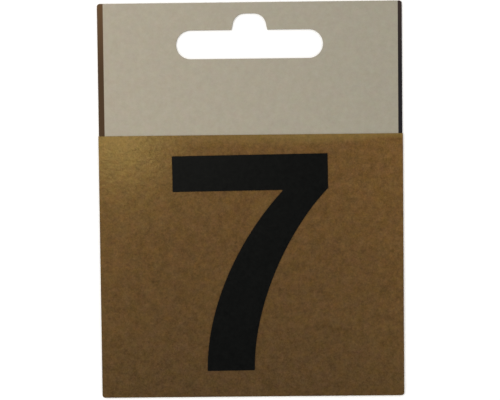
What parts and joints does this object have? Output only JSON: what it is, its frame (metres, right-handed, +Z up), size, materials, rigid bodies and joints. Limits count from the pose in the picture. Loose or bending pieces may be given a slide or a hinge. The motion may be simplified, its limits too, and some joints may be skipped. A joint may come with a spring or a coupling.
{
  "type": "adhesive door number",
  "caption": "Black self-adhesive film number seven on a brown release liner and a die-cut hang card with a slot, peeled off to number a door.",
  "frame": {"origin": "middle of the hang card's underside, where the stack lies on the surface", "axes": "+X across the card to the right as the digit is read, +Y up the digit towards the edge with the hang slot, +Z up through the layers and out of the digit's face"},
  "size_m": [0.0702, 0.0912, 0.0008],
  "materials": {
    "card_board": "matte",
    "kraft_liner": "satin",
    "black_film": "matte"
  },
  "bodies": {
    "root": {"hang_card": "card_board", "release_liner": "kraft_liner", "number_seven": "black_film"}
  },
  "joints": []
}
